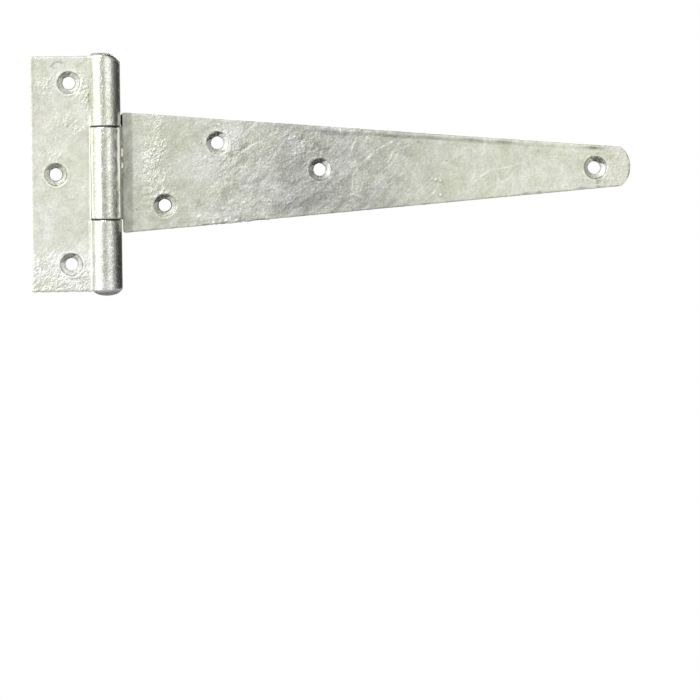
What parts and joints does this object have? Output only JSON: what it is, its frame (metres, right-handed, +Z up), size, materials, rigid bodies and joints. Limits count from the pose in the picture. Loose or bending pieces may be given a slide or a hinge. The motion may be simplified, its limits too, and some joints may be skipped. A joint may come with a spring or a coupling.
{
  "type": "T hinge",
  "caption": "Heavy galvanised T hinge: a rectangular leaf and a long tapered strap rolled round a riveted pin, with countersunk screw holes.",
  "frame": {"origin": "on the mounting plane (the backs of both leaves), right behind the pin's axis, at mid height", "axes": "+Z up along the pin, +X from the pin to the strap's tip, +Y out of the back of the leaves, into the post and the door; the front with the barrel faces -Y"},
  "size_m": [0.343, 0.0171, 0.1385],
  "materials": {
    "zinc_leaf": "hot-dip galvanised, pale, lumpy near the holes and along the bottom edge",
    "zinc_strap": "hot-dip galvanised, dull grey with faint diagonal streaks and scratches",
    "zinc_pin": "hot-dip galvanised, peened at both ends"
  },
  "bodies": {
    "post_side": {"fixed_leaf": "zinc_leaf", "hinge_pin": "zinc_pin"},
    "door_side": {"strap_leaf": "zinc_strap"}
  },
  "joints": [
    {"name": "strap_swing", "type": "hinge", "parent": "post_side", "child": "door_side", "pos_m": [0, -0.00855, 0], "axis": [0, 0, -1], "range_deg": [-80, 190]}
  ]
}
